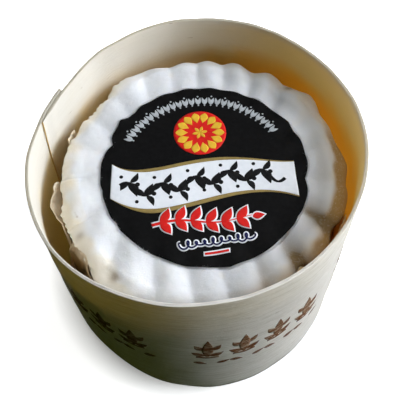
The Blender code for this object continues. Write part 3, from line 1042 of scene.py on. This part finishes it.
def hairs(name, foot, way, long, hook, white):
    """Fine hairs as bent three-sided strands: three points at the foot, three closer ones half
    way, and the tip, which the hook carries to one side."""
    across = unit(np.cross(way, HAIR_SIDE))
    other = np.cross(way, across)
    rings = []
    for share, thick in HAIR_RINGS:
        middle = foot + way * (long * share) + hook * (share * abs(share))
        for turn in (0.0, 120.0, 240.0):
            x, y = polar(HAIR_WIDE * thick / 2, turn)
            rings.append(middle + across * x + other * y)
    points = np.stack([*rings, foot + way * long + hook], axis=1).reshape(-1, 3)
    first = HAIR_POINTS * np.arange(len(foot))[:, None, None]
    quads = (first + np.array([[0, 1, 4, 3], [1, 2, 5, 4], [2, 0, 3, 5]])).reshape(-1, 4)
    caps = (first + np.array([[3, 4, 6], [4, 5, 6], [5, 3, 6], [2, 1, 0]])).reshape(-1, 3)
    finish_piece(make_mesh(name, points, quads, white, triangles=caps), "rind")


def rind_places(draw, count, grid, nearest, furthest):
    """Random places on the rind at these distances outside the label's edge, each between four
    neighbouring points of the grid."""
    away = grid[..., :2] - placed(*LABEL_CENTRE, 0.0)[:2]
    angle = np.degrees(np.arctan2(away[..., 1], away[..., 0]))
    outside = np.hypot(away[..., 0], away[..., 1]) - LABEL_RADIUS - label_edge(angle)
    fits = (outside > nearest) & (outside < furthest) & (grid[..., 2] > DOWN_LOWEST)
    row, column = np.argwhere(fits)[draw.integers(0, fits.sum(), count)].T
    u, v = draw.random((2, count, 1))
    beside = (column + 1) % grid.shape[1]
    upper = grid[row, column] * (1.0 - u) + grid[row, beside] * u
    lower = grid[row + 1, column] * (1.0 - u) + grid[row + 1, beside] * u
    return upper * (1.0 - v) + lower * v


def build_down(white):
    """Short hairs all over the rind's top, and longer ones round the label's edge, which lean in
    over the print."""
    grid = rind_points()[0]
    draw = np.random.default_rng(DOWN_SEED)
    middle = around(CHEESE_CENTRE, 0.0, 0.0, 0.0)
    for name, count, nearest, furthest, shortest, longest, inward, spread in DOWN:
        foot = rind_places(draw, count, grid, nearest, furthest)
        toward = unit((middle - foot) * (1.0, 1.0, 0.0))
        scatter = spread * draw.normal(size=(count, 3)) * (1.0, 1.0, 0.3)
        way = unit(UP + inward * toward + scatter)
        long = draw.uniform(shortest, longest, count)[:, None]
        hook = draw.normal(size=(count, 3)) * (long * HAIR_HOOK) - UP * (long * HAIR_DROOP)
        hairs(name, foot, way, long, hook, white)


def label_height(x, y):
    """The label's surface at points about its centre: it lies on the lobes' crests, and its edge
    sags a little between them."""
    x, y = x + LABEL_CENTRE[0] - CHEESE_CENTRE[0], y + LABEL_CENTRE[1] - CHEESE_CENTRE[1]
    radius = np.hypot(x, y)
    angle = np.degrees(np.arctan2(y, x))
    soft = unevenness(np.stack([x, y, 0.0 * x], axis=-1), LABEL_SOFT)
    sag = LABEL_SAG * dip(angle, radius) * ease(radius, LABEL_SAG_START, LABEL_RADIUS)
    return CHEESE_TOP + dome(radius) + LABEL_LIFT + soft - sag


def laid(x, y, lift=0.0):
    """Points of the label's plan, laid on its draped surface."""
    return placed(x + LABEL_CENTRE[0], y + LABEL_CENTRE[1], label_height(x, y) + lift)


def label_edge(angle):
    """How the label's edge wavers: in a little over each groove, and in soft bites where the down
    has grown over it."""
    bites = sum(depth * stretch(angle, at - 1.0, at + 1.0, wide) for at, wide, depth in LABEL_BITES)
    waver = unevenness(around(AXIS, LABEL_RADIUS, angle, 0.0), LABEL_WAVER)
    return LABEL_OUT - LABEL_DIP * dip(angle, LABEL_RADIUS) - bites + waver


def build_label(black):
    """The round label: rings out to an edge that wavers a little."""
    angle = np.arange(LABEL_COLUMNS)[None, :] * 360.0 / LABEL_COLUMNS
    share = (np.arange(1, LABEL_RINGS + 1) / LABEL_RINGS)[:, None]
    x, y = polar((LABEL_RADIUS + label_edge(angle)) * share, angle)
    made = make_ring("round_label", laid(x, y), black, poles=(0,), facing="up")
    thicken(made, LABEL_PAPER, -1.0)
    finish_piece(made, "label_paper", "label")


def films(name, grids, ink, slot, facing):
    """One ink: grids of points laid as thin films, each turned on its own, as it may run either
    way round."""
    points, quads, start = [], [], 0
    for grid in grids:
        points.append(grid.reshape(-1, 3))
        count = len(points[-1])
        quads.append(grid_faces(start + np.arange(count).reshape(grid.shape[:2])))
        start += count
    points, quads = np.concatenate(points), np.concatenate(quads)
    a, b, c, d = (points[quads[:, corner]] for corner in range(4))
    wrong = facing_share(np.cross(c - a, d - b), a, facing) < 0.0
    quads[wrong] = quads[wrong][:, ::-1]
    made = make_mesh(name, points, quads, ink, facing)
    thicken(made, INK_THICKNESS, -1.0)
    finish_piece(made, slot)


def ribbon(x, lower, upper, across, lean=0.0):
    """A film between two edges, given as heights. It can lean over from its top to its foot."""
    v = np.linspace(0.0, 1.0, across)[:, None]
    return x + lean * (0.5 - v), lower + (upper - lower) * v


def stroke(x, y, width, across=4):
    """A drawn line: the path widened to both sides, square to its own run."""
    run_x, run_y = np.gradient(x), np.gradient(y)
    length = np.hypot(run_x, run_y)
    v = np.linspace(-0.5, 0.5, across)[:, None]
    return x - run_y / length * width * v, y + run_x / length * width * v


def leaf(x, y, angle, length, width, fat=0.75, bend=0.0, steps=14, across=6):
    """A pointed leaf from its foot: width follows a sine along it, and its midrib can bend."""
    u = np.linspace(0.0, 1.0, steps)[None, :]
    v = np.linspace(-0.5, 0.5, across)[:, None]
    along = length * u + 0.0 * v
    side = (width * np.sin(math.pi * u**fat) + 0.00002) * v + bend * length * np.sin(math.pi * u)
    cos, sin = polar(1.0, angle)
    return x + along * cos - side * sin, y + along * sin + side * cos


def leaves(x, y, table, side=1.0, turn=0.0):
    """A table's leaves about a point, turned by so many degrees. At side -1 they point and bend
    the other way."""
    return [
        leaf(x + right, y + up, turn + side * angle, length, width, fat, side * bend)
        for right, up, angle, length, width, fat, bend in table
    ]


def dot(x, y, radius, steps, rings):
    """A small disc, as rings about its middle."""
    turn = np.linspace(0.0, 360.0, steps)[None, :]
    out_x, out_y = polar(np.linspace(0.02, 1.0, rings)[:, None] * radius, turn)
    return x + out_x, y + out_y


def smooth_line(x, knots):
    """Heights of the one smooth curve that passes through these few points."""
    places, heights = zip(*knots)
    return np.polyval(np.polyfit(places, heights, len(knots) - 1), x)


def garland_shapes():
    """A row of small upright twin leaves round the label's upper edge, with a dot in each gap."""
    shapes = []
    for number, angle in enumerate(np.linspace(*GARLAND_SPAN, GARLAND_COUNT)):
        shapes += leaves(*polar(GARLAND_RADIUS, angle), GARLAND_LEAVES, turn=angle)
        if number % 2:
            shapes.append(dot(*polar(GARLAND_DOT_RADIUS, angle), *GARLAND_DOT))
    return shapes


def flower_shapes():
    """The petals and the middle of the round flower."""
    petals = []
    for count, first, start, *size in FLOWER_RINGS:
        for angle in first + 360.0 * np.arange(count) / count:
            x, y = polar(start, angle)
            petals.append(leaf(FLOWER_CENTRE[0] + x, FLOWER_CENTRE[1] + y, angle, *size))
    return petals


def banner_shapes():
    """The waving white ribbon, and the gold band that shows above and below it."""
    x = np.linspace(*BANNER_SPAN, BANNER_STEPS)
    share = np.linspace(0.0, 1.0, BANNER_STEPS)
    upper, lower = smooth_line(x, BANNER_TOP), smooth_line(x, BANNER_FOOT)
    lean = BANNER_SLANT * share
    taper = ease(share, *GOLD_WIDENS) * (1.0 - 0.9 * ease(share, *GOLD_NARROWS))
    above = ribbon(x - lean / 2, upper, upper + GOLD_LEAST + GOLD_OVER * taper, 4)
    below = ribbon(x + lean / 2, lower - GOLD_LEAST - GOLD_UNDER * taper, lower, 4)
    return [ribbon(x, lower, upper, 34, lean)], [above, below]


def vine_shapes():
    """The black vine on the ribbon: a waving stem with curled leaves at each turn and berries."""
    x = np.linspace(*VINE_SPAN, 260)
    middle = (smooth_line(x, BANNER_TOP) + smooth_line(x, BANNER_FOOT)) / 2
    phase = 2.0 * math.pi * (x - VINE_SPAN[0]) / VINE_WAVE
    stem = middle + VINE_SWING * np.sin(phase)
    shapes = [stroke(x, stem, VINE_STEM[0] + VINE_STEM[1] * np.abs(np.cos(phase)))]
    turns = int((VINE_SPAN[1] - VINE_SPAN[0]) / VINE_WAVE * 2)
    for number in range(turns):
        at = VINE_SPAN[0] + (number + 0.5) * VINE_WAVE / 2
        height = np.interp(at, x, stem)
        side = 1.0 if number % 2 else -1.0
        shapes += leaves(at, height, VINE_LEAVES if number % 4 else VINE_LONG_LEAVES, side)
        for right, up, *size in VINE_BERRIES:
            shapes.append(dot(at + right, height + side * up, *size))
    return shapes


def sprig_shapes(grow):
    """The red sprig of leaves, each shape grown outwards by this much for its white border."""
    rise = np.linspace(0.0, 1.0, 60)
    run = SPRIG_END[0] - SPRIG_START[0]
    x = SPRIG_START[0] + run * rise
    bow = SPRIG_STEM * np.sin(7.0 * rise)
    stem = SPRIG_START[1] + (SPRIG_END[1] - SPRIG_START[1]) * rise + bow
    shapes = [stroke(x, stem, SPRIG_STEM * (1.2 - rise) + 2.0 * grow)]

    def grown(x, y, angle, length, width, *more):
        back_x, back_y = polar(-grow, angle)
        size = (length + SPRIG_GROW_LONG * grow, width + 2.0 * grow, *more)
        shapes.append(leaf(x + back_x, y + back_y, angle, *size))

    width, fat, bend = SPRIG_LEAF_SIZE
    for number in range(SPRIG_PAIRS):
        at = SPRIG_START[0] + (number + 0.55) * run / (SPRIG_PAIRS + 0.6)
        for side, length in SPRIG_LEAVES:
            angle = 8.0 + side * (56.0 - 2.0 * number)
            grown(at, np.interp(at, x, stem), angle, length, width, fat, bend * side)
    grown(*SPRIG_END, *SPRIG_TIP)
    return shapes


def ripple_shapes(width):
    """The looping line under the sprig, drawn at this width."""
    u = np.linspace(0.0, 1.0, 420)
    turn = 2.0 * math.pi * RIPPLE_TURNS * u
    rise = RIPPLE_START[1] + (RIPPLE_END[1] - RIPPLE_START[1]) * u
    x = RIPPLE_START[0] + (RIPPLE_END[0] - RIPPLE_START[0]) * u - RIPPLE_SWING[0] * np.sin(turn)
    swing = RIPPLE_SWING[1] * (1.0 + 0.35 * np.sin(2.7 * turn / RIPPLE_TURNS))
    return [stroke(x, rise + swing * np.cos(turn), width)]


def bar_shapes(grow):
    """The short bar under the looping line."""
    x = np.linspace(BAR_START[0] - grow, BAR_END[0] + grow, 24)
    y = np.interp(x, (BAR_START[0], BAR_END[0]), (BAR_START[1], BAR_END[1]))
    return [stroke(x, y, BAR_WIDE + 2.0 * grow)]


def build_print():
    """The label's print in thin films of ink. Higher layers lie over lower ones."""
    inks = {}
    for name, (colour, shade) in INKS.items():
        marks = ((*INK_BUMPS[0][:3], 0.35, 0.7, shade),)
        inks[name] = surface_finish(name, 0.5, 0.08, colour, marks, bumps=INK_BUMPS)
    white, gold = banner_shapes()
    borders = sprig_shapes(SPRIG_BORDER) + ripple_shapes(RIPPLE_WIDE[0]) + bar_shapes(BAR_BORDER)
    rows = (
        ("garland_print", garland_shapes(), "pale_grey_ink", 1),
        ("flower_red", [dot(*FLOWER_CENTRE, *FLOWER_DISC)], "red_ink", 1),
        ("flower_yellow", flower_shapes(), "yellow_ink", 2),
        ("ribbon_gold", gold, "gold_ink", 1),
        ("ribbon_white", white, "white_ink", 2),
        ("vine_black", vine_shapes(), "black_ink", 3),
        ("sprig_white", borders, "white_ink", 1),
        ("sprig_red", sprig_shapes(0.0) + bar_shapes(0.0), "red_ink", 2),
        ("ripple_blue", ripple_shapes(RIPPLE_WIDE[1]), "dark_blue_ink", 3),
    )
    for name, shapes, ink, layer in rows:
        grids = [laid(x, y, INK_LIFT * layer) for x, y in shapes]
        films(name, grids, inks[ink], "label_paper", "up")


def stamp_shapes(start, end):
    """One block of the stamp, as arc lengths and heights: sprouts, each a tall leaf between four
    smaller ones on a short bar, over a row of single leaves."""
    begin, finish = BAND_RADIUS * math.radians(start), BAND_RADIUS * math.radians(end)
    down, reach, bow, bend, width = STAMP_BAR
    shapes = []
    count = max(2, round((finish - begin) / STAMP_PITCH))
    for number in range(count):
        at = begin + (number + 0.5) * (finish - begin) / count
        x = np.linspace(at - reach, at + reach, 12)
        shapes.append(stroke(x, STAMP_MIDDLE + down - bow * np.cos((x - at) * bend), width))
        shapes += leaves(at, STAMP_MIDDLE, STAMP_TALL, turn=90.0)
        for side in (1.0, -1.0):
            shapes += leaves(at, STAMP_MIDDLE, STAMP_SIDES, side, 90.0)
        shapes += leaves(at, STAMP_LOW, STAMP_SINGLE)
    return shapes


def build_stamp(brown):
    """The brown stamp round the band's outside."""
    grids = []
    for block in STAMP_BLOCKS:
        for x, y in stamp_shapes(*block):
            angle = np.degrees(x / BAND_RADIUS)
            grids.append(around(AXIS, dented_radius(angle, y) + STAMP_LIFT, angle, y))
    films("band_stamp", grids, brown, "veneer", "out")


def wrapper_edge(angle):
    """The height of the torn upper edge, and how far the paper stands off the rind there."""
    below = WRAP_LOW + (WRAP_HIGH - WRAP_LOW) * spans(angle, WRAP_HIGH_SPANS)
    below = below + (WRAP_LEAF - WRAP_LOW) * stretch(angle, *WRAP_LEAF_SPAN)
    below = below + (WRAP_TAB - WRAP_LOW) * stretch(angle, *WRAP_TAB_SPAN)
    tear = unevenness(around(AXIS, CHEESE_RADIUS, angle, 0.0), *WRAP_TEAR)
    start, end, _ = WRAP_LEAF_SPAN
    bow = np.sin(math.pi * np.clip((angle - start) / (end - start), 0.0, 1.0) ** 0.9)
    return CHEESE_TOP - below + tear, spans(angle, WRAP_FLARES) + WRAP_LEAF_OFF * bow


def build_wrapper(paper):
    """The paper round the cheese's side: it follows the flank, leans out toward its torn edge, and
    crinkles in upright folds that grow toward that edge."""
    angle = np.arange(WRAP_COLUMNS)[None, :] * 360.0 / WRAP_COLUMNS
    up = ((np.arange(WRAP_ROWS + 1) / WRAP_ROWS) ** 0.6)[:, None]
    top, off = wrapper_edge(angle)
    height = WRAP_FOOT + (top - WRAP_FOOT) * up
    foot = ease(height, 0.0, FOOT_FADE)
    snug = CHEESE_RADIUS + FLANK_BULGE + WRAP_GAP
    snug = snug - (CHEESE_RADIUS - SKIRT_LIP) * stretch(angle, *SKIRT_SPAN) * foot
    over = np.clip((height - CHEESE_TOP + SHOULDER_HIGH) / SHOULDER_HIGH, 0.0, 1.0)
    tuck = SHOULDER_WIDE * (1.0 - np.sqrt(1.0 - over**2)) * spans(angle, WRAP_HIGH_SPANS)
    bulge = spans(angle, WRAP_BULGES) * ease(top - height, 0.0, WRAP_BULGE_UNDER) * foot
    right = stretch(angle, *WRAP_RIGHT_SPAN)
    flare = WRAP_FLARE_LOW + (WRAP_FLARE_RIGHT - WRAP_FLARE_LOW) * right
    radius = snug + off * ease(height, top - flare, top) + bulge - tuck
    squeezed = around(AXIS, CHEESE_RADIUS, angle, height * WRAP_FOLD_TALL)
    folds = unevenness(squeezed, *WRAP_FOLDS) * ease(height, top - WRAP_CRINKLE_LOW, top)
    grid = around(CHEESE_CENTRE, (radius + folds) * oval(angle, height), angle, height)
    made = make_ring("torn_wrapper", grid, paper, facing="out")
    # Painted shade in the fold, darker further below the edge
    soil = 0.45 + 0.5 * ease(top - height, *WRAP_SHADE_UNDER)
    add_fields(
        made,
        height.shape,
        damp=stretch(angle, *WRAP_DAMP_SPAN),
        soil=stretch(angle, *WRAP_SHADE_SPAN) * soil,
    )
    thicken(made, WRAP_PAPER)
    finish_piece(made, "wrapper_paper", "wrapper")


def set_stage(piece, *, shadow=True):
    """Shows a piece of the surroundings to the camera alone, with or without its shadow."""
    piece.visible_diffuse = False
    piece.visible_glossy = False
    piece.visible_transmission = False
    piece.visible_shadow = shadow


def build_floor():
    """A wide pale floor, which glows less close to the band as a painted contact shadow, and a dark
    patch inside the band that paints the shade there.
    """
    pale = glowing_finish("pale_floor", (0.85, 0.85, 0.85), (1.0, 1.0, 1.0), 1.0)
    reach = pale.add("VectorMath", "Value", {0: pale.place()}, operation="LENGTH")
    # Less glow close to the band: a painted contact shadow
    pale.set("Emission Strength", pale.between(reach, *FLOOR_SHADOW_RADII, *FLOOR_GLOW))
    corners = np.array([(-1.0, -1.0, 0.0), (1.0, -1.0, 0.0), (1.0, 1.0, 0.0), (-1.0, 1.0, 0.0)])
    quad = np.array([[0, 1, 2, 3]])
    set_stage(make_mesh("floor", FLOOR_REACH * corners, quad, pale.material, "up"))
    # A dark floor patch inside the band: painted shade, with a faint warm glow of its own
    dark = glowing_finish("shaded_floor", (0.3, 0.18, 0.09), (0.3, 0.15, 0.06), 0.1)
    turn = np.arange(0.0, 360.0, 2.0)[None, :]
    share = np.linspace(0.1, 1.0, 6)[:, None]
    grid = around(AXIS, (band_radius(turn, 0.0) - VENEER) * share, turn, FLOOR_PATCH)
    set_stage(make_ring("painted_shade_in_band", grid, dark.material, poles=(0,), facing="up"))


def build_backdrop():
    """A white wall that stands in a ring round the floor, for the views from low down."""
    white = glowing_finish("white_backdrop", (0.85, 0.85, 0.85), (1.0, 1.0, 1.0), 0.9)
    turn = np.arange(0.0, 360.0, 3.0)[None, :]
    grid = around(AXIS, BACKDROP_RADIUS, turn, np.array(BACKDROP_HEIGHTS)[:, None])
    set_stage(make_ring("backdrop", grid, white.material), shadow=False)


def add_lamp(name, direction, elevation, distance, size, power, colour):
    """A square soft light that looks at the cheese."""
    data = bpy.data.lights.new(name, "AREA")
    data.shape = "SQUARE"
    data.size = size
    data.energy = power
    data.color = colour
    lamp = put_in_scene(name, data)
    level, high = polar(distance, elevation)
    place = Vector((*polar(level, direction), high))
    lamp.location = Vector(LAMP_AIM) + place
    lamp.rotation_euler = (-place).to_track_quat("-Z", "Y").to_euler()


def set_studio():
    """The lights, the dim surroundings and how light becomes picture values."""
    for lamp in LAMPS:
        add_lamp(*lamp)
    world = bpy.data.worlds.new("dim_room")
    world.use_nodes = True
    shade = world.node_tree.nodes["Background"]
    shade.inputs["Color"].default_value = ROOM_COLOUR
    shade.inputs["Strength"].default_value = 1.0
    bpy.context.scene.world = world
    bpy.context.scene.view_settings.view_transform = "Standard"


def set_camera():
    """The viewer's place: high in front, with a slight roll."""
    data = bpy.data.cameras.new("camera")
    data.lens = CAMERA_LENS
    data.sensor_width = 36.0
    data.clip_start = 0.01
    camera = put_in_scene("camera", data)
    look = Vector(CAMERA_AIM) - Vector(CAMERA_PLACE)
    turn = look.to_track_quat("-Z", "Y").to_matrix().to_4x4()
    roll = Matrix.Rotation(math.radians(CAMERA_ROLL), 4, "Z")
    camera.matrix_world = Matrix.Translation(CAMERA_PLACE) @ turn @ roll
    bpy.context.scene.camera = camera


def main():
    build_band(veneer_finish())
    build_wrapper(surface_finish("wrapper_paper", **PAPER))
    build_rind(surface_finish("downy_rind", **RIND))
    build_down(surface_finish("white_down", **HAIR))
    build_label(surface_finish("black_label_paper", **LABEL_BLACK))
    build_print()
    build_stamp(surface_finish("brown_stamp_ink", **STAMP_BROWN))
    build_floor()
    build_backdrop()
    set_studio()
    set_camera()


main()
